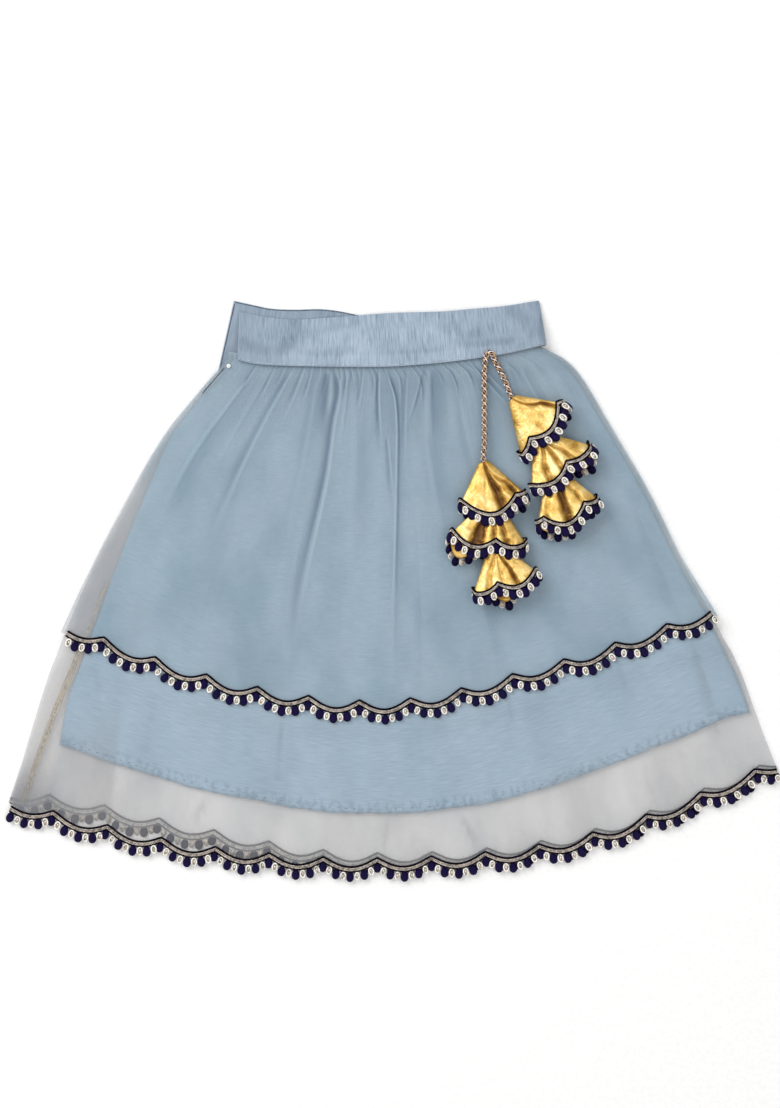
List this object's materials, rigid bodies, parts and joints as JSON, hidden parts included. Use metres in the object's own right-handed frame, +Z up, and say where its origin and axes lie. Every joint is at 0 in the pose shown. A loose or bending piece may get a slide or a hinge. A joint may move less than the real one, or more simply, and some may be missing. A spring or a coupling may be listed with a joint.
{
  "type": "lehenga skirt",
  "caption": "Child's gathered lehenga skirt laid flat: net over a plain lining, silk waistband, scalloped lace on both net hems, and a cord with gold cone tassels.",
  "frame": {"origin": "middle of the skirt's footprint, on the surface that it lies on", "axes": "+X across the skirt towards the tassels' side, the wearer's left; +Y from hem to waist; +Z up, out of the skirt's front"},
  "size_m": [0.653, 0.4936, 0.0287],
  "materials": {
    "net": "sheer soft net, pale blue-grey",
    "lining": "matt slub weave, light blue",
    "slub_silk": "soft sheen slub silk, pale blue",
    "lace": "satin stitch and metal thread, dark indigo and pale gold",
    "lame": "crinkled gold lame",
    "cord": "braided metallic thread, gold, copper and white",
    "snap": "clear white"
  },
  "bodies": {
    "root": {"upper_net_front": "net", "upper_net_back": "net", "long_net_front": "net", "long_net_back": "net", "lining_front": "lining", "lining_back": "lining", "waistband_front": "slub_silk", "waistband_back": "slub_silk", "snap": "snap", "upper_lace_front": "lace", "upper_lace_back": "lace", "hem_lace_front": "lace", "hem_lace_back": "lace", "cord_left": "cord", "cord_right": "cord", "tassel_cone_left_1": "lame", "tassel_lace_left_1": "lace", "tassel_cone_left_2": "lame", "tassel_lace_left_2": "lace", "tassel_cone_left_3": "lame", "tassel_lace_left_3": "lace", "tassel_cone_right_1": "lame", "tassel_lace_right_1": "lace", "tassel_cone_right_2": "lame", "tassel_lace_right_2": "lace", "tassel_cone_right_3": "lame", "tassel_lace_right_3": "lace"}
  },
  "joints": []
}
